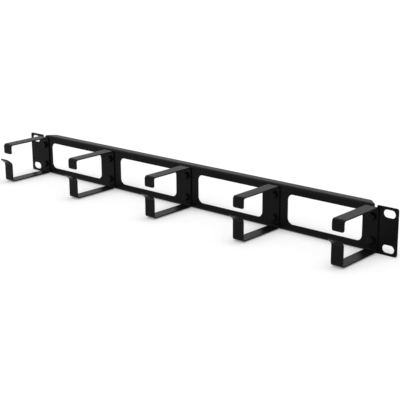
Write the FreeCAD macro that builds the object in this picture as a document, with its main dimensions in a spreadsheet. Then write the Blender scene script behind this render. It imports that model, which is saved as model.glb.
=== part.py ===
import FreeCAD, Part
import enum
import math
import os

import Sketcher

# Horizontal cable manager, one rack unit high, for a nineteen inch rack.
# A folded and pierced steel panel carries five open rings of bent steel strip,
# each held by two blind rivets.
# Row frame: X along the panel, +Z up, the front of the panel faces -Y.
# The origin is the centre of the four rack slots, on the back of the sheet,
# which is the face that the rack rails touch.

Vector = FreeCAD.Vector
doc = FreeCAD.newDocument("cable_manager")
sheet = doc.addObject("Spreadsheet::Sheet", "sizes")

SIZES = [
    # Folded panel
    ("panel_width", "482.6", "over both ears, nineteen inch rack"),
    ("panel_height", "43.6", "one rack unit less its running clearance"),
    ("sheet_gauge", "1.2", "steel sheet of the panel"),
    ("fold_inside", "1.8", "inside radius of the two long folds"),
    ("flange_depth", "10.3", "front of the panel to the back edge of a flange"),
    ("ear_width", "21.1", "slit to the end of an ear"),
    ("slit_width", "3.0", "gap between a flange and its ear"),
    ("slit_overrun", "0.8", "slit runs this far past the fold line"),
    ("corner_cut", "9.0", "corner cut of a flange, measured along the panel"),
    ("corner_cut_land", "0.1", "corner cut stops this far behind the sheet"),
    ("corner_cut_round", "2.5", "rounding where the cut meets the back edge"),
    ("ear_outer_round", "2.2", "outer corners of the ears"),
    ("ear_inner_round", "1.0", "corners of the ears beside the slits"),
    # Windows
    ("rail_height", "7.4", "sheet left above and below the windows"),
    ("post_width", "29.25", "sheet left between two windows"),
    ("end_post_width", "11.325", "outer window to the end of the flanges"),
    ("window_round", "6.0", "corner radius of a window"),
    # Rack slots
    ("slot_edge_out", "8.75", "slot centre to the end of its ear"),
    ("slot_edge_up", "5.925", "slot centre to the nearer long edge of its ear"),
    ("rack_slot_length", "12.0", "over the round ends"),
    ("rack_slot_width", "7.3", "height of a slot"),
    # Rings
    ("ring_setback", "1.0", "arms of a ring lie this far inside the panel's height"),
    ("ring_depth", "54.4", "front of the panel to the front of the tabs"),
    ("strip_width", "12.0", "width of the strip"),
    ("strip_gauge", "1.2", "thickness of the strip"),
    ("ring_fold_inside", "1.8", "inside radius of the four folds"),
    ("upper_tab_drop", "10.6", "top of the ring to the end of the upper tab"),
    ("lip_start_rise", "18.3", "bottom of the ring to where the lip bends out"),
    ("lip_angle", "50.0", "lip, out from the upright, in degrees"),
    ("lip_fold_inside", "3.4", "inside radius of the lip bend"),
    ("lip_length", "6.3", "straight end of the lip"),
    ("strip_end_round", "1.8", "corners of the two ends of the strip"),
    ("end_ring_inset", "0.9", "end of the flanges to the centre of an end ring"),
    # Blind rivets
    ("rivet_spacing", "22.0", "upper rivet to lower rivet"),
    ("rivet_shank", "3.2", "diameter of a set shank"),
    ("rivet_hole_play", "0.05", "radial play of a shank in its hole"),
    ("rivet_head", "7.0", "diameter of the pan head"),
    ("rivet_head_rise", "2.6", "thickness of the pan head"),
    ("rivet_head_round", "1.0", "rounding of the rim of the pan head"),
    ("rivet_tail_foot", "4.6", "diameter of the blind tail against the sheet"),
    ("rivet_tail_neck", "3.4", "diameter of the end of the blind tail"),
    ("rivet_tail_rise", "2.4", "length of the blind tail"),
    ("rivet_tail_bulge", "0.43", "bulge of the blind tail beyond its two ends"),
    ("mandrel_stem", "1.8", "diameter of the mandrel stem"),
    ("mandrel_play", "0.02", "radial play of the stem in the shank"),
    ("mandrel_sink", "0.1", "broken stem lies this far below the pan head"),
    ("mandrel_head", "2.8", "diameter of the mandrel head"),
    ("mandrel_head_edge", "0.6", "upright edge of the mandrel head"),
    ("mandrel_head_rise", "1.2", "length of the mandrel head"),
]
for row, (alias, size, meaning) in enumerate(SIZES, start=1):
    sheet.set(f"A{row}", meaning)
    sheet.set(f"B{row}", size)
    sheet.setAlias(f"B{row}", alias)
doc.recompute()

WINDOWS = 4

# Worked-out sizes and places, as expressions on the sheet.
SHEET_FRONT = "(-sizes.sheet_gauge)"
FOLD_OUTSIDE = "(sizes.fold_inside + sizes.sheet_gauge)"
PANEL_END = "(sizes.panel_width / 2)"
PANEL_TOP = "(sizes.panel_height / 2)"
FOLD_LINE = f"({PANEL_TOP} - {FOLD_OUTSIDE})"
EAR_START = f"({PANEL_END} - sizes.ear_width)"
FLANGE_END = f"({EAR_START} - sizes.slit_width)"
FLANGE_BACK = "(sizes.flange_depth - sizes.sheet_gauge)"
CUT_START = f"({FLANGE_END} - sizes.corner_cut)"
WINDOW_TOP = f"({PANEL_TOP} - sizes.rail_height)"
WINDOW_END = f"({FLANGE_END} - sizes.end_post_width)"
WINDOW_WIDTH = f"((2 * {WINDOW_END} - {WINDOWS - 1} * sizes.post_width) / {WINDOWS})"
WINDOW_PITCH = f"({WINDOW_WIDTH} + sizes.post_width)"
SLOT_ACROSS = f"({PANEL_END} - sizes.slot_edge_out)"
SLOT_UP = f"({PANEL_TOP} - sizes.slot_edge_up)"
RING_FRONT = f"({SHEET_FRONT} - sizes.ring_depth)"
RING_TOP = f"({PANEL_TOP} - sizes.ring_setback)"
RING_FOLD_OUTSIDE = "(sizes.ring_fold_inside + sizes.strip_gauge)"
RING_FOLD_LINE = f"({RING_TOP} - {RING_FOLD_OUTSIDE})"
TAB_END = f"({RING_TOP} - sizes.upper_tab_drop)"
LIP_START = f"(sizes.lip_start_rise - {RING_TOP})"
END_STATION = f"({FLANGE_END} - sizes.end_ring_inset)"
RIVET_HEIGHT = "(sizes.rivet_spacing / 2)"
RIVET_HOLE = "(sizes.rivet_shank + 2 * sizes.rivet_hole_play)"
RIVET_SEAT = f"({SHEET_FRONT} - sizes.strip_gauge)"
TAIL_TAPER = "((sizes.rivet_tail_foot - sizes.rivet_tail_neck) / 2)"
TAIL_CHORD = f"sqrt({TAIL_TAPER}^2 + sizes.rivet_tail_rise^2)"
TAIL_RADIUS = f"({TAIL_CHORD}^2 / (8 * sizes.rivet_tail_bulge) + sizes.rivet_tail_bulge / 2)"
STATIONS = [
    ("ring_1", f"-{END_STATION}"),
    ("ring_2", f"-{WINDOW_PITCH}"),
    ("ring_3", "0"),
    ("ring_4", WINDOW_PITCH),
    ("ring_5", END_STATION),
]
RIVET_LEVELS = [("upper", RIVET_HEIGHT), ("lower", f"-{RIVET_HEIGHT}")]


class PointOf(enum.IntEnum):
    """Which point of a sketch line or arc a constraint holds."""
    START = 1
    END = 2
    CENTRE = 3


START, END, CENTRE = PointOf
ORIGIN_POINT = (-1, START)
AXES = "XYZ"
TINY = 10 ** -7
NEAR = 10 ** -4


def value(expression):
    """The number that an expression on the sheet comes to."""
    return float(sheet.evalExpression(expression))


def new_body(name):
    body = doc.addObject("PartDesign::Body", name)
    body.Label = name
    return body


def origin_plane(body, role):
    return next(item for item in body.Origin.OriginFeatures if item.Role == role)


def new_sketch(body, role, name):
    sketch = body.newObject("Sketcher::SketchObject", name)
    sketch.AttachmentSupport = [(origin_plane(body, role), "")]
    sketch.MapMode = "FlatFace"
    return sketch


def new_feature(body, kind, name, profile=None, **settings):
    """A feature at the body's tip, with plain settings given by name."""
    feature = body.newObject(kind, name)
    if profile is not None:
        feature.Profile = profile
        profile.Visibility = False
    for key, setting in settings.items():
        setattr(feature, key, setting)
    body.Tip = feature
    return feature


def dimension(sketch, kind, where, expression):
    """A sketch dimension that follows an expression on the sheet."""
    amount = value(expression)
    if kind == "Angle":
        amount = math.radians(amount)
    index = sketch.addConstraint(Sketcher.Constraint(kind, *where, amount))
    sketch.setExpression(f"Constraints[{index}]", expression)


def locate(sketch, point, across=None, up=None):
    """Hold a sketch point at expressions measured from the sketch origin."""
    for kind, expression, axis in (("DistanceX", across, -2), ("DistanceY", up, -1)):
        if expression is None:
            continue
        amount = value(expression)
        if abs(amount) < TINY:
            sketch.addConstraint(Sketcher.Constraint("PointOnObject", *point, axis))
        elif amount > 0:
            dimension(sketch, kind, (*ORIGIN_POINT, *point), expression)
        else:
            dimension(sketch, kind, (*point, *ORIGIN_POINT), f"-({expression})")


def add_line(sketch, first, second):
    return sketch.addGeometry(Part.LineSegment(Vector(*first, 0), Vector(*second, 0)), False)


def add_arc(sketch, centre, radius, start_degrees, end_degrees):
    circle = Part.Circle(Vector(*centre, 0), Vector(0, 0, 1), radius)
    arc = Part.ArcOfCircle(circle, math.radians(start_degrees), math.radians(end_degrees))
    return sketch.addGeometry(arc, False)


def join(sketch, first, second, kind="Coincident"):
    sketch.addConstraint(Sketcher.Constraint(kind, *first, *second))


def level(sketch, *lines):
    for line in lines:
        sketch.addConstraint(Sketcher.Constraint("Horizontal", line))


def upright(sketch, *lines):
    for line in lines:
        sketch.addConstraint(Sketcher.Constraint("Vertical", line))


def add_circle(sketch, across, up, diameter):
    circle = Part.Circle(Vector(value(across), value(up), 0), Vector(0, 0, 1), value(diameter) / 2)
    index = sketch.addGeometry(circle, False)
    locate(sketch, (index, CENTRE), across, up)
    dimension(sketch, "Diameter", (index,), diameter)


def add_polygon(sketch, corners):
    """A closed outline of straight lines, each corner a pair of expressions."""
    points = [(value(across), value(up)) for across, up in corners]
    lines = [add_line(sketch, points[i - 1], points[i]) for i in range(len(points))]
    for i, line in enumerate(lines):
        join(sketch, (lines[i - 1], END), (line, START))
        locate(sketch, (line, END), *corners[i])


def add_rectangle(sketch, left, right, bottom, top):
    """An upright rectangle between four expressions."""
    x0, x1, y0, y1 = (value(side) for side in (left, right, bottom, top))
    corners = [(x0, y0), (x1, y0), (x1, y1), (x0, y1)]
    lines = [add_line(sketch, corners[i], corners[(i + 1) % 4]) for i in range(4)]
    for i in range(4):
        join(sketch, (lines[i], END), (lines[(i + 1) % 4], START))
    level(sketch, lines[0], lines[2])
    upright(sketch, lines[1], lines[3])
    locate(sketch, (lines[0], START), left, bottom)
    locate(sketch, (lines[1], END), right, top)


def add_round_rectangle(sketch, left, right, bottom, top, radius):
    """An upright rectangle with equal round corners."""
    x0, x1, y0, y1 = (value(side) for side in (left, right, bottom, top))
    r = value(radius)
    lines = [
        add_line(sketch, (x0 + r, y0), (x1 - r, y0)),
        add_line(sketch, (x1, y0 + r), (x1, y1 - r)),
        add_line(sketch, (x1 - r, y1), (x0 + r, y1)),
        add_line(sketch, (x0, y1 - r), (x0, y0 + r)),
    ]
    arcs = [
        add_arc(sketch, (x1 - r, y0 + r), r, 270, 360),
        add_arc(sketch, (x1 - r, y1 - r), r, 0, 90),
        add_arc(sketch, (x0 + r, y1 - r), r, 90, 180),
        add_arc(sketch, (x0 + r, y0 + r), r, 180, 270),
    ]
    for i in range(4):
        join(sketch, (lines[i], END), (arcs[i], START), "Tangent")
        join(sketch, (arcs[i], END), (lines[(i + 1) % 4], START), "Tangent")
    level(sketch, lines[0], lines[2])
    upright(sketch, lines[1], lines[3])
    for arc in arcs[1:]:
        sketch.addConstraint(Sketcher.Constraint("Equal", arcs[0], arc))
    dimension(sketch, "Radius", (arcs[0],), radius)
    locate(sketch, (lines[0], START), None, bottom)
    locate(sketch, (lines[1], START), right, None)
    locate(sketch, (lines[2], START), None, top)
    locate(sketch, (lines[3], START), left, None)


def add_round_slot(sketch, first, second, radius):
    """A slot with round ends about two centres that lie level or upright."""
    x0, y0 = value(first[0]), value(first[1])
    x1, y1 = value(second[0]), value(second[1])
    r = value(radius)
    turn = math.degrees(math.atan2(y1 - y0, x1 - x0))
    side = Vector(-(y1 - y0), x1 - x0, 0).normalize() * r
    lines = [
        add_line(sketch, (x1 + side.x, y1 + side.y), (x0 + side.x, y0 + side.y)),
        add_line(sketch, (x0 - side.x, y0 - side.y), (x1 - side.x, y1 - side.y)),
    ]
    arcs = [
        add_arc(sketch, (x0, y0), r, turn + 90, turn + 270),
        add_arc(sketch, (x1, y1), r, turn - 90, turn + 90),
    ]
    join(sketch, (lines[0], END), (arcs[0], START), "Tangent")
    join(sketch, (arcs[0], END), (lines[1], START), "Tangent")
    join(sketch, (lines[1], END), (arcs[1], START), "Tangent")
    join(sketch, (arcs[1], END), (lines[0], START), "Tangent")
    sketch.addConstraint(Sketcher.Constraint("Equal", arcs[0], arcs[1]))
    dimension(sketch, "Radius", (arcs[0],), radius)
    locate(sketch, (arcs[0], CENTRE), *first)
    locate(sketch, (arcs[1], CENTRE), *second)


def edges_along(shape, axis, place):
    """Names of the straight edges along an axis, at a place seen along it.

    A place holds the sizes of the other two coordinates, in X, Y, Z order.
    Its mirror images about the middle planes count as the same place.
    """
    along = AXES.index(axis)
    names = []
    for number, edge in enumerate(shape.Edges, start=1):
        ends = [vertex.Point for vertex in edge.Vertexes]
        if len(ends) != 2 or abs(ends[0][along] - ends[1][along]) < NEAR:
            continue
        if abs(edge.Length - abs(ends[0][along] - ends[1][along])) > NEAR:
            continue
        spot = [abs(ends[0][index]) for index in range(3) if index != along]
        if math.dist(spot, place) < NEAR:
            names.append(f"Edge{number}")
    return names


def round_edges(body, name, edges, radius):
    """A fillet on named edges of the body's present tip."""
    base = body.Tip
    fillet = body.newObject("PartDesign::Fillet", name)
    fillet.Base = (base, edges)
    fillet.Refine = False
    fillet.setExpression("Radius", radius)
    body.Tip = fillet
    doc.recompute()


def cut_through(body, name, sketch):
    """A pocket through everything, both ways from its sketch."""
    pocket = new_feature(body, "PartDesign::Pocket", name, sketch)
    pocket.Type = "ThroughAll"
    pocket.SideType = "Symmetric"
    return pocket


# Folded panel

def draw_flange_profile(body):
    """Section of the upper fold and its flange, seen along the panel."""
    sketch = new_sketch(body, "YZ_Plane", "flange_profile")
    gauge, inside = value("sizes.sheet_gauge"), value("sizes.fold_inside")
    top, back = value(PANEL_TOP), value(FLANGE_BACK)
    centre = (inside, value(FOLD_LINE))
    upper = add_line(sketch, (inside, top), (back, top))
    edge = add_line(sketch, (back, top), (back, top - gauge))
    under = add_line(sketch, (back, top - gauge), (inside, top - gauge))
    root = add_line(sketch, (0, centre[1]), (-gauge, centre[1]))
    outer = add_arc(sketch, centre, inside + gauge, 90, 180)
    inner = add_arc(sketch, centre, inside, 90, 180)
    join(sketch, (outer, START), (upper, START), "Tangent")
    join(sketch, (upper, END), (edge, START))
    join(sketch, (edge, END), (under, START))
    join(sketch, (under, END), (inner, START), "Tangent")
    join(sketch, (inner, END), (root, START))
    join(sketch, (root, END), (outer, END))
    join(sketch, (outer, CENTRE), (inner, CENTRE))
    level(sketch, upper, under, root)
    upright(sketch, edge)
    sketch.addConstraint(Sketcher.Constraint("PointOnObject", inner, CENTRE, root))
    dimension(sketch, "Radius", (inner,), "sizes.fold_inside")
    dimension(sketch, "Distance", (edge,), "sizes.sheet_gauge")
    locate(sketch, (root, END), SHEET_FRONT, None)
    locate(sketch, (edge, START), FLANGE_BACK, PANEL_TOP)
    return sketch


def make_panel():
    body = new_body("panel")

    # Flat web between the two fold lines and between the ears
    outline = new_sketch(body, "XZ_Plane", "web_outline")
    add_rectangle(outline, f"-{EAR_START}", EAR_START, f"-{FOLD_LINE}", FOLD_LINE)
    web = new_feature(body, "PartDesign::Pad", "web", outline)
    web.setExpression("Length", "sizes.sheet_gauge")

    # Upper and lower folds with their flanges
    flange = new_feature(body, "PartDesign::Pad", "flange", draw_flange_profile(body))
    flange.SideType = "Symmetric"
    flange.setExpression("Length", f"2 * {FLANGE_END}")
    mirror_plane = (origin_plane(body, "XY_Plane"), [""])
    new_feature(body, "PartDesign::Mirrored", "other_flange", Originals=[flange], MirrorPlane=mirror_plane)

    # Corner cuts of the flanges, seen from above
    corners = new_sketch(body, "XY_Plane", "corner_cuts")
    behind = f"({FLANGE_BACK} + sizes.sheet_gauge)"
    for sign in ("", "-"):
        add_polygon(corners, [
            (f"{sign}{CUT_START}", FLANGE_BACK),
            (f"{sign}{FLANGE_END}", "sizes.corner_cut_land"),
            (f"{sign}{EAR_START}", "sizes.corner_cut_land"),
            (f"{sign}{EAR_START}", behind),
            (f"{sign}{CUT_START}", behind),
        ])
    cut_through(body, "flange_corners", corners)

    # Slits that let the flanges fold without tearing the ears
    slits = new_sketch(body, "XZ_Plane", "slit_outline")
    slit_radius = "(sizes.slit_width / 2)"
    slit_centre = f"({FLANGE_END} + {slit_radius})"
    slit_bottom = f"({FOLD_LINE} - sizes.slit_overrun + {slit_radius})"
    for across in (slit_centre, f"-{slit_centre}"):
        for sign in ("", "-"):
            inner_end = (across, f"{sign}{slit_bottom}")
            outer_end = (across, f"{sign}{PANEL_TOP}")
            add_round_slot(slits, inner_end, outer_end, slit_radius)
    cut_through(body, "slits", slits)

    # Row of windows, from the left
    window_outline = new_sketch(body, "XZ_Plane", "window_outline")
    left = f"-{WINDOW_END}"
    right = f"({WINDOW_WIDTH} - {WINDOW_END})"
    add_round_rectangle(window_outline, left, right, f"-{WINDOW_TOP}", WINDOW_TOP, "sizes.window_round")
    window = cut_through(body, "window", window_outline)
    windows = new_feature(
        body, "PartDesign::LinearPattern", "windows",
        Originals=[window], Direction=(window_outline, ["H_Axis"]), Occurrences=WINDOWS,
    )
    windows.setExpression("Length", f"{WINDOWS - 1} * {WINDOW_PITCH}")

    # Rivet holes behind each ring
    holes = new_sketch(body, "XZ_Plane", "rivet_hole_outline")
    for _, station in STATIONS:
        for _, height in RIVET_LEVELS:
            add_circle(holes, station, height, RIVET_HOLE)
    cut_through(body, "rivet_holes", holes)
    doc.recompute()
    cut_corner = (value(CUT_START), value(FLANGE_BACK))
    cut_edges = edges_along(body.Shape, "Z", cut_corner)
    round_edges(body, "flange_cut_corners", cut_edges, "sizes.corner_cut_round")

    # Ears, full height beside the slits. From here on coplanar faces aren't
    # joined, so the back of each ear is a face of its own, its seat on a rail.
    ear_outline = new_sketch(body, "XZ_Plane", "ear_outline")
    add_rectangle(ear_outline, EAR_START, PANEL_END, f"-{PANEL_TOP}", PANEL_TOP)
    ear = new_feature(body, "PartDesign::Pad", "ear", ear_outline, Refine=False)
    ear.setExpression("Length", "sizes.sheet_gauge")
    mirror_plane = (origin_plane(body, "YZ_Plane"), [""])
    new_feature(
        body, "PartDesign::Mirrored", "other_ear",
        Originals=[ear], MirrorPlane=mirror_plane, Refine=False,
    )

    # Rack slots, two in each ear
    slots = new_sketch(body, "XZ_Plane", "rack_slot_outline")
    slot_radius = "(sizes.rack_slot_width / 2)"
    reach = f"(sizes.rack_slot_length / 2 - {slot_radius})"
    for sign in ("", "-"):
        left_end = (f"(-{SLOT_ACROSS} - {reach})", f"{sign}{SLOT_UP}")
        right_end = (f"(-{SLOT_ACROSS} + {reach})", f"{sign}{SLOT_UP}")
        add_round_slot(slots, left_end, right_end, slot_radius)
    rack_slot = cut_through(body, "rack_slot", slots)
    rack_slot.Refine = False
    rack_slots = new_feature(
        body, "PartDesign::LinearPattern", "rack_slots",
        Originals=[rack_slot], Direction=(slots, ["H_Axis"]), Occurrences=2, Refine=False,
    )
    rack_slots.setExpression("Length", f"2 * {SLOT_ACROSS}")
    doc.recompute()

    # Corners of the ears
    for name, across, radius in [
        ("ear_outer_corners", PANEL_END, "sizes.ear_outer_round"),
        ("ear_inner_corners", EAR_START, "sizes.ear_inner_round"),
    ]:
        edges = edges_along(body.Shape, "Y", (value(across), value(PANEL_TOP)))
        round_edges(body, name, edges, radius)
    return body


# Rings

def draw_ring_profile(body):
    """Section of the bent strip: both faces of the strip and its two ends.

    Each face is a chain of six straight runs joined by five tangent arcs,
    and both chains share the centres of their folds.
    """
    sketch = new_sketch(body, "YZ_Plane", "strip_profile")
    gauge = value("sizes.strip_gauge")
    fold, fold_line = value(RING_FOLD_OUTSIDE), value(RING_FOLD_LINE)
    front, back = value(RING_FRONT), value(SHEET_FRONT)
    tab_end, lip_start = value(TAB_END), value(LIP_START)
    lip_fold, lip_angle = value("sizes.lip_fold_inside"), value("sizes.lip_angle")
    turn = math.radians(lip_angle)
    along_lip = (-math.sin(turn), math.cos(turn))
    lip_length = value("sizes.lip_length")

    def draw_face(inset):
        """One face of the strip, inset from the outside of the ring."""
        radius = fold - inset
        lip_radius = lip_fold + inset
        half = fold_line + radius
        lip_from = (
            front - lip_fold + lip_radius * math.cos(turn),
            lip_start + lip_radius * math.sin(turn),
        )
        lip_to = tuple(lip_from[i] + lip_length * along_lip[i] for i in (0, 1))
        runs = [
            add_line(sketch, (front + inset, tab_end), (front + inset, fold_line)),
            add_line(sketch, (front + fold, half), (back - fold, half)),
            add_line(sketch, (back - inset, fold_line), (back - inset, -fold_line)),
            add_line(sketch, (back - fold, -half), (front + fold, -half)),
            add_line(sketch, (front + inset, -fold_line), (front + inset, lip_start)),
            add_line(sketch, lip_from, lip_to),
        ]
        folds = [
            add_arc(sketch, (front + fold, fold_line), radius, 90, 180),
            add_arc(sketch, (back - fold, fold_line), radius, 0, 90),
            add_arc(sketch, (back - fold, -fold_line), radius, 270, 360),
            add_arc(sketch, (front + fold, -fold_line), radius, 180, 270),
            add_arc(sketch, (front - lip_fold, lip_start), lip_radius, 0, lip_angle),
        ]
        for i in range(4):
            join(sketch, (runs[i], END), (folds[i], END), "Tangent")
            join(sketch, (folds[i], START), (runs[i + 1], START), "Tangent")
        join(sketch, (runs[4], END), (folds[4], START), "Tangent")
        join(sketch, (folds[4], END), (runs[5], START), "Tangent")
        level(sketch, runs[1], runs[3])
        upright(sketch, runs[0], runs[2], runs[4])
        return runs, folds

    outer_runs, outer_folds = draw_face(0)
    inner_runs, inner_folds = draw_face(gauge)

    # Outer face: four equal folds, the lip bend and the ring's outside sizes
    for arc in outer_folds[1:4]:
        sketch.addConstraint(Sketcher.Constraint("Equal", outer_folds[0], arc))
    dimension(sketch, "Radius", (outer_folds[0],), RING_FOLD_OUTSIDE)
    dimension(sketch, "Radius", (outer_folds[4],), "sizes.lip_fold_inside")
    locate(sketch, (outer_runs[0], START), RING_FRONT, TAB_END)
    locate(sketch, (outer_runs[1], START), None, RING_TOP)
    locate(sketch, (outer_runs[2], START), SHEET_FRONT, None)
    locate(sketch, (outer_runs[3], START), None, f"-{RING_TOP}")
    locate(sketch, (outer_runs[4], END), RING_FRONT, LIP_START)
    dimension(sketch, "Distance", (outer_runs[5],), "sizes.lip_length")
    lip_corner = (outer_runs[5], START, outer_runs[4], END)
    dimension(sketch, "Angle", lip_corner, "180 - sizes.lip_angle")

    # Inner face: one gauge further in, about the same centres
    for inner, outer in zip(inner_folds, outer_folds):
        join(sketch, (inner, CENTRE), (outer, CENTRE))
    sketch.addConstraint(Sketcher.Constraint("Parallel", inner_runs[5], outer_runs[5]))

    # Ends of the strip, cut square
    tab_cut = add_line(sketch, (front, tab_end), (front + gauge, tab_end))
    join(sketch, (tab_cut, START), (outer_runs[0], START))
    join(sketch, (tab_cut, END), (inner_runs[0], START))
    level(sketch, tab_cut)
    dimension(sketch, "Distance", (tab_cut,), "sizes.strip_gauge")
    lip_ends = [sketch.getPoint(runs[5], END) for runs in (outer_runs, inner_runs)]
    lip_cut = add_line(sketch, *((point.x, point.y) for point in lip_ends))
    join(sketch, (lip_cut, START), (outer_runs[5], END))
    join(sketch, (lip_cut, END), (inner_runs[5], END))
    sketch.addConstraint(Sketcher.Constraint("Perpendicular", lip_cut, outer_runs[5]))
    return sketch


def make_ring(name, station):
    body = new_body(name)
    strip = new_feature(body, "PartDesign::Pad", f"{name}_strip", draw_ring_profile(body))
    strip.SideType = "Symmetric"
    strip.setExpression("Length", "sizes.strip_width")

    # Rivet holes in the back of the ring, clear of the front tabs
    holes = new_sketch(body, "XZ_Plane", f"{name}_hole_outline")
    for _, height in RIVET_LEVELS:
        add_circle(holes, "0", height, RIVET_HOLE)
    pocket = new_feature(body, "PartDesign::Pocket", f"{name}_rivet_holes", holes)
    pocket.Reversed = True
    pocket.setExpression("Length", "sizes.sheet_gauge + 2 * sizes.strip_gauge")
    doc.recompute()

    # Corners of the two strip ends: the only edges as long as the gauge
    half, gauge = value("sizes.strip_width") / 2, value("sizes.strip_gauge")
    corners = []
    for number, edge in enumerate(body.Shape.Edges, start=1):
        on_side = all(abs(abs(vertex.X) - half) < NEAR for vertex in edge.Vertexes)
        if on_side and len(edge.Vertexes) == 2 and abs(edge.Length - gauge) < NEAR:
            corners.append(f"Edge{number}")
    round_edges(body, f"{name}_end_corners", corners, "sizes.strip_end_round")
    body.setExpression("Placement.Base.x", station)
    return body


# Blind rivets

def place_rivet(body, station, height):
    body.setExpression("Placement.Base.x", station)
    body.setExpression("Placement.Base.z", height)


def spin(body, name, sketch):
    """Revolve a sketch fully about its own upright axis."""
    revolution = new_feature(body, "PartDesign::Revolution", name, sketch)
    revolution.ReferenceAxis = (sketch, ["V_Axis"])
    revolution.Angle = 360


def add_crown(sketch, first, last):
    """An arc about a point of the upright axis, from one place on to another."""
    x0, y0 = (value(place) for place in first)
    x1, y1 = (value(place) for place in last)
    centre = (x1 ** 2 + y1 ** 2 - x0 ** 2 - y0 ** 2) / (2 * (y1 - y0))
    start, end = (math.degrees(math.atan2(y - centre, x)) for x, y in ((x0, y0), (x1, y1)))
    arc = add_arc(sketch, (0, centre), math.hypot(x0, y0 - centre), start, end)
    sketch.addConstraint(Sketcher.Constraint("PointOnObject", arc, CENTRE, -2))
    locate(sketch, (arc, START), *first)
    locate(sketch, (arc, END), *last)
    return arc


def add_bulge(sketch, first, last, radius):
    """An arc of known radius that bulges outwards between two places."""
    start, end = (Vector(value(place[0]), value(place[1]), 0) for place in (first, last))
    chord = end - start
    inward = Vector(-chord.y, chord.x, 0).normalize()
    depth = math.sqrt(value(radius) ** 2 - (chord.Length / 2) ** 2)
    centre = (start + end) / 2 + inward * depth
    angles = (math.degrees(math.atan2(point.y - centre.y, point.x - centre.x)) for point in (start, end))
    arc = add_arc(sketch, (centre.x, centre.y), value(radius), *angles)
    dimension(sketch, "Radius", (arc,), radius)
    locate(sketch, (arc, START), *first)
    locate(sketch, (arc, END), *last)
    return arc


def add_steps(sketch, corners, before, after):
    """Straight level and upright lines from one arc's point to another's."""
    points = [(value(across), value(up)) for across, up in corners]
    lines = [add_line(sketch, *pair) for pair in zip(points, points[1:])]
    join(sketch, before, (lines[0], START))
    for line, following in zip(lines, lines[1:]):
        join(sketch, (line, END), (following, START))
    join(sketch, (lines[-1], END), after)
    for line, (here, there) in zip(lines, zip(points, points[1:])):
        if abs(here[1] - there[1]) < TINY:
            level(sketch, line)
        else:
            upright(sketch, line)
    return lines


def make_rivet(name, station, height):
    """Rivet sleeve: pan head in front, shank through both sheets, blind tail."""
    body = new_body(name)
    sketch = new_sketch(body, "XY_Plane", f"{name}_profile")
    bore = "(sizes.mandrel_stem / 2 + sizes.mandrel_play)"
    shank = "(sizes.rivet_shank / 2)"
    rim = "(sizes.rivet_head / 2)"
    cap = f"({RIVET_SEAT} - sizes.rivet_head_rise)"
    cap_edge = (f"({rim} - sizes.rivet_head_round)", cap)
    shoulder = (rim, f"({cap} + sizes.rivet_head_round)")
    foot = ("(sizes.rivet_tail_foot / 2)", "0")
    neck = ("(sizes.rivet_tail_neck / 2)", "sizes.rivet_tail_rise")
    rounding = add_bulge(sketch, cap_edge, shoulder, "sizes.rivet_head_round")
    belly = add_bulge(sketch, foot, neck, TAIL_RADIUS)
    outside = add_steps(
        sketch,
        [shoulder, (rim, RIVET_SEAT), (shank, RIVET_SEAT), (shank, "0"), foot],
        (rounding, END), (belly, START),
    )
    inside = add_steps(
        sketch,
        [neck, (bore, neck[1]), (bore, cap), cap_edge],
        (belly, END), (rounding, START),
    )
    locate(sketch, (outside[1], END), shank, RIVET_SEAT)
    locate(sketch, (inside[1], END), bore, None)
    spin(body, f"{name}_sleeve", sketch)
    place_rivet(body, station, height)
    return body


def make_mandrel(name, station, height):
    """Broken mandrel: stem inside the shank, head behind the blind tail."""
    body = new_body(name)
    sketch = new_sketch(body, "XY_Plane", f"{name}_profile")
    stem = "(sizes.mandrel_stem / 2)"
    head = "(sizes.mandrel_head / 2)"
    broken_end = f"({RIVET_SEAT} - sizes.rivet_head_rise + sizes.mandrel_sink)"
    seat = "sizes.rivet_tail_rise"
    shoulder = (head, f"({seat} + sizes.mandrel_head_edge)")
    top = ("0", f"({seat} + sizes.mandrel_head_rise)")
    crown = add_crown(sketch, shoulder, top)
    lines = add_steps(
        sketch,
        [top, ("0", broken_end), (stem, broken_end), (stem, seat), (head, seat), shoulder],
        (crown, END), (crown, START),
    )
    locate(sketch, (lines[1], END), stem, broken_end)
    locate(sketch, (lines[2], END), None, seat)
    spin(body, f"{name}_pin", sketch)
    place_rivet(body, station, height)
    return body


def make_all():
    bodies = [make_panel()]
    for number, (name, station) in enumerate(STATIONS, start=1):
        bodies.append(make_ring(name, station))
        for place, height in RIVET_LEVELS:
            bodies.append(make_rivet(f"rivet_{number}_{place}", station, height))
            bodies.append(make_mandrel(f"mandrel_{number}_{place}", station, height))
    return bodies


def check_document():
    """Stop if any object of the document failed or a sketch can still move."""
    for item in doc.Objects:
        if {"Invalid", "Error"} & set(item.State):
            raise RuntimeError(f"{item.Label} failed: {item.State}")
        if item.TypeId == "Sketcher::SketchObject" and not item.FullyConstrained:
            raise RuntimeError(f"{item.Label} isn't fully constrained")


def write_parts(bodies):
    os.makedirs("parts", exist_ok=True)
    for body in bodies:
        shape = body.Shape
        if shape.isNull() or not shape.isValid() or len(shape.Solids) != 1:
            raise RuntimeError(f"{body.Label} isn't one valid solid")
        shape.exportStep(f"parts/{body.Label}.step")
        print(f"{body.Label}: {shape.Volume:.1f} mm3, {shape.BoundBox}")


parts = make_all()
doc.recompute()
check_document()
write_parts(parts)
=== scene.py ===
import math

import bpy
from mathutils import Matrix, Vector


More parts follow.
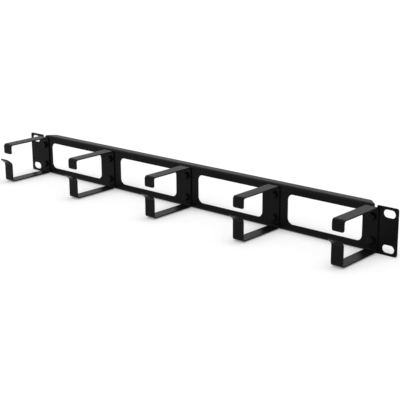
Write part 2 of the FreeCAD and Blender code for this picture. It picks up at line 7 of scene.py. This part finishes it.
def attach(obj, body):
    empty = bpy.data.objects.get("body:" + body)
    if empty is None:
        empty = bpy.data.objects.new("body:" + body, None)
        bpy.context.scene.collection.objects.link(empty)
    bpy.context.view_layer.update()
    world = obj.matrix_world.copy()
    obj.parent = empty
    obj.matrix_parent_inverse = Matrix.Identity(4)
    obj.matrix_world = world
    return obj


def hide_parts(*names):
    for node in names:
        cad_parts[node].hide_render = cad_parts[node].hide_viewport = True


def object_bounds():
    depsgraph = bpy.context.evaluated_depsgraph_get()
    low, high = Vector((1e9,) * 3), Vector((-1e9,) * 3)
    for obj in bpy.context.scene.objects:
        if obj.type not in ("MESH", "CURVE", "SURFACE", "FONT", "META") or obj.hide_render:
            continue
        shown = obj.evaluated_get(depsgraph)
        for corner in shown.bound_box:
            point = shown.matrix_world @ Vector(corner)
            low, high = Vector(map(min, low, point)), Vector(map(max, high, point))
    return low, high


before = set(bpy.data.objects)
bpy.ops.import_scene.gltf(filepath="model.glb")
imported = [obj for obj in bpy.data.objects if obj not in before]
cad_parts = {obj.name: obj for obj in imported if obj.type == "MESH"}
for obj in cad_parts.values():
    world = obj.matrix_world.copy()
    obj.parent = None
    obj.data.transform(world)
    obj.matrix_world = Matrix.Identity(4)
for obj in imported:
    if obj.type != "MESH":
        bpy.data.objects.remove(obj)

CAD_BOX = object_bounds()

# Horizontal cable manager in satin black powder coat: a folded and pierced panel,
# five open rings of bent strip and the blind rivets that hold them.
# Metres, X along the panel, Z up, the front of the panel faces -Y.

RINGS = [f"ring_{number}" for number in range(1, 6)]
RIVETS = [f"rivet_{number}_{place}" for number in range(1, 6) for place in ("upper", "lower")]
MANDRELS = [name.replace("rivet", "mandrel") for name in RIVETS]

# The photograph's camera, as fitted to the panel's long edges and the rings
PHOTO_SIDE = 400
FOCAL_PIXELS = 997.39
SENSOR = 36.0
CAMERA_PLACE = Vector((0.64872, -0.71919, 0.26490))
CAMERA_AZIMUTH = math.radians(41.329)
CAMERA_ELEVATION = math.radians(16.120)
CAMERA_ROLL = math.radians(-0.385)

# Satin black, for sheet, strip and rivets alike
SATIN_IOR = 1.165

# Meshing of the rounded copies
MERGE_GAP = 1e-6
FLAT_ANGLE = math.radians(0.5)
SHARP_ANGLE = math.radians(35)


# Camera

def place_camera():
    ahead = Vector((
        -math.sin(CAMERA_AZIMUTH) * math.cos(CAMERA_ELEVATION),
        math.cos(CAMERA_AZIMUTH) * math.cos(CAMERA_ELEVATION),
        -math.sin(CAMERA_ELEVATION),
    ))
    level = Vector((math.cos(CAMERA_AZIMUTH), math.sin(CAMERA_AZIMUTH), 0))
    above = level.cross(ahead)
    right = level * math.cos(CAMERA_ROLL) + above * math.sin(CAMERA_ROLL)
    up = above * math.cos(CAMERA_ROLL) - level * math.sin(CAMERA_ROLL)
    data = bpy.data.cameras.new("camera")
    data.sensor_width = SENSOR
    data.lens = FOCAL_PIXELS * SENSOR / PHOTO_SIDE
    data.clip_start, data.clip_end = 0.05, 50
    camera = bpy.data.objects.new("camera", data)
    facing = Matrix((right, up, -ahead)).transposed().to_4x4()
    camera.matrix_world = Matrix.Translation(CAMERA_PLACE) @ facing
    bpy.context.scene.collection.objects.link(camera)
    bpy.context.scene.camera = camera


# Shader building

class Wire:
    """An output socket on which Python's arithmetic adds Math nodes."""

    def __init__(self, finish, socket):
        self.finish = finish
        self.socket = socket

    def __add__(self, other):
        return self.finish.maths("ADD", self, other)

    def __sub__(self, other):
        return self.finish.maths("SUBTRACT", self, other)

    def __rsub__(self, other):
        return self.finish.maths("SUBTRACT", other, self)

    def __mul__(self, other):
        return self.finish.maths("MULTIPLY", self, other)

    def __or__(self, other):
        return self.finish.maths("MAXIMUM", self, other)

    __radd__ = __add__
    __rmul__ = __mul__
    __ror__ = __or__


class Finish:
    """The node tree of a material or a world, built one node a call."""

    def __init__(self, owner, target):
        owner.use_nodes = True
        self.owner = owner
        self.tree = owner.node_tree
        self.tree.nodes.clear()
        self.target = self.tree.nodes.new(target)

    def node(self, kind, settings=None, inputs=None, output=0):
        node = self.tree.nodes.new(kind)
        for name, setting in (settings or {}).items():
            setattr(node, name, setting)
        for name, value in (inputs or {}).items():
            self.feed(node.inputs[name], value)
        return Wire(self, node.outputs[output])

    def feed(self, socket, value):
        if isinstance(value, Wire):
            self.tree.links.new(value.socket, socket)
        else:
            socket.default_value = value

    def maths(self, operation, first, second):
        return self.node("ShaderNodeMath", {"operation": operation}, {0: first, 1: second})

    def noise(self, place, size, detail=2.0):
        """Noise between about 0.2 and 0.8 whose features are of the given size in metres."""
        return self.node(
            "ShaderNodeTexNoise", None,
            {"Vector": place, "Scale": 1 / size, "Detail": detail},
        )

    def blend(self, factor, first, second):
        return self.node(
            "ShaderNodeMix", {"data_type": "RGBA"}, {0: factor, 6: first, 7: second}, 2,
        )

    def relief(self, height, strength, depth):
        return self.node("ShaderNodeBump", None, {
            "Height": height, "Strength": strength, "Distance": depth,
        })

    def end(self, surface):
        self.feed(self.target.inputs["Surface"], surface)
        return self.owner


def grey(level):
    return (level, level, level, 1)


def new_material(name):
    return Finish(bpy.data.materials.new(name), "ShaderNodeOutputMaterial")


# Finishes

def powder_coat(name):
    """Satin black powder: a film that swells and thins gently, with orange peel and fine grain."""
    finish = new_material(name)
    place = finish.node("ShaderNodeTexCoord", output="Object")
    film = finish.noise(place, size=0.045, detail=3)
    peel = finish.noise(place, size=0.0016)
    grain = finish.noise(place, size=0.00035)
    return finish.end(finish.node("ShaderNodeBsdfPrincipled", None, {
        "Base Color": finish.blend(film * 0.7 + grain * 0.3, grey(0.0034), grey(0.0050)),
        "Roughness": 0.35 + (film - 0.5) * 0.10 + (grain - 0.5) * 0.06,
        "Normal": finish.relief(peel * 0.65 + grain * 0.35, strength=0.5, depth=0.00004),
        "IOR": SATIN_IOR,
    }))


def black_rivet():
    """Blind rivet sleeve: drawn metal under thin satin black."""
    finish = new_material("rivet_lacquer")
    place = finish.node("ShaderNodeTexCoord", output="Object")
    grain = finish.noise(place, size=0.0004)
    return finish.end(finish.node("ShaderNodeBsdfPrincipled", None, {
        "Base Color": finish.blend(grain, grey(0.0028), grey(0.0048)),
        "Roughness": 0.34 + (grain - 0.5) * 0.12,
        "Normal": finish.relief(grain, strength=0.4, depth=0.00002),
        "IOR": SATIN_IOR,
    }))


def dark_steel():
    """Broken mandrel: black phosphated steel, dull and a little mottled."""
    finish = new_material("mandrel_phosphate")
    place = finish.node("ShaderNodeTexCoord", output="Object")
    mottle = finish.noise(place, size=0.0006)
    return finish.end(finish.node("ShaderNodeBsdfPrincipled", None, {
        "Base Color": finish.blend(mottle, grey(0.006), grey(0.012)),
        "Roughness": 0.5 + (mottle - 0.5) * 0.2,
        "Metallic": 0.9,
        "Normal": finish.relief(mottle, strength=0.6, depth=0.00003),
    }))


# Pieces

def rounded_copy(node, material, width, segments):
    """A CAD node's shape with its sharp edges rounded, which stands for the node."""
    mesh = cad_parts[node].data.copy()
    piece = bpy.data.objects.new(f"{node}_coated", mesh)
    bpy.context.scene.collection.objects.link(piece)
    bpy.ops.object.select_all(action="DESELECT")
    bpy.context.view_layer.objects.active = piece
    piece.select_set(True)
    bpy.ops.object.mode_set(mode="EDIT")
    bpy.ops.mesh.select_all(action="SELECT")
    bpy.ops.mesh.remove_doubles(threshold=MERGE_GAP)
    bpy.ops.mesh.dissolve_limited(angle_limit=FLAT_ANGLE)
    bpy.ops.object.mode_set(mode="OBJECT")
    rounding = piece.modifiers.new("rounding", "BEVEL")
    rounding.width = width
    rounding.segments = segments
    rounding.limit_method = "ANGLE"
    rounding.angle_limit = SHARP_ANGLE
    bpy.ops.object.modifier_apply(modifier=rounding.name)
    bpy.ops.object.shade_smooth_by_angle(angle=SHARP_ANGLE)
    evening = piece.modifiers.new("evening", "WEIGHTED_NORMAL")
    evening.keep_sharp = True
    bpy.ops.object.modifier_apply(modifier=evening.name)
    mesh.materials.clear()
    mesh.materials.append(material)
    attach(piece, "root")
    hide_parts(node)
    return piece


def dress():
    """Gives every node its rounded copy, finish and material slot."""
    for nodes, slot, material, width, segments in (
        (["panel"], "panel_coat", powder_coat("panel_powder"), 0.00016, 3),
        (RINGS, "ring_coat", powder_coat("ring_powder"), 0.00016, 3),
        (RIVETS, "rivet_black", black_rivet(), 0.00008, 2),
        (MANDRELS, "mandrel_steel", dark_steel(), 0.00006, 2),
    ):
        for node in nodes:
            rounded_copy(node, material, width, segments)


# Floor and light

def seen_white(finish):
    """1 for the rays that show the background, to the camera or in gloss and glass."""
    rays = [
        finish.node("ShaderNodeLightPath", output=name)
        for name in ("Is Camera Ray", "Is Glossy Ray", "Is Transmission Ray")
    ]
    return rays[0] | rays[1] | rays[2]


def lay_floor(height, albedo, lift):
    """A pale floor that shows white where nothing shades it."""
    bpy.ops.object.select_all(action="DESELECT")
    bpy.ops.mesh.primitive_plane_add(size=24, location=(0, 0, height))
    floor = bpy.context.object
    floor.name = "floor"
    finish = new_material("floor_paper")
    paper = finish.node("ShaderNodeBsdfDiffuse", None, {"Color": grey(albedo)})
    glow = finish.node("ShaderNodeEmission", None, {
        "Color": grey(1), "Strength": seen_white(finish) * lift,
    })
    floor.data.materials.append(finish.end(
        finish.node("ShaderNodeAddShader", None, {0: paper, 1: glow})
    ))


def light_studio(ambient):
    """Even light from all round, seen as white, and a wide softbox almost straight above."""
    world = bpy.data.worlds.new("studio")
    finish = Finish(world, "ShaderNodeOutputWorld")
    strength = seen_white(finish) * (1 - ambient) + ambient
    finish.end(finish.node("ShaderNodeBackground", None, {
        "Color": grey(1), "Strength": strength,
    }))
    bpy.context.scene.world = world
    softbox = bpy.data.lights.new("softbox", "SUN")
    softbox.energy = 1.3
    softbox.angle = math.radians(50)
    lamp = bpy.data.objects.new("softbox", softbox)
    lamp.rotation_euler.x = math.radians(5)
    bpy.context.scene.collection.objects.link(lamp)


place_camera()
dress()
lay_floor(CAD_BOX[0].z, albedo=0.8, lift=0.235)
light_studio(ambient=0.6)

scene = bpy.context.scene
scene.view_settings.view_transform = "Standard"
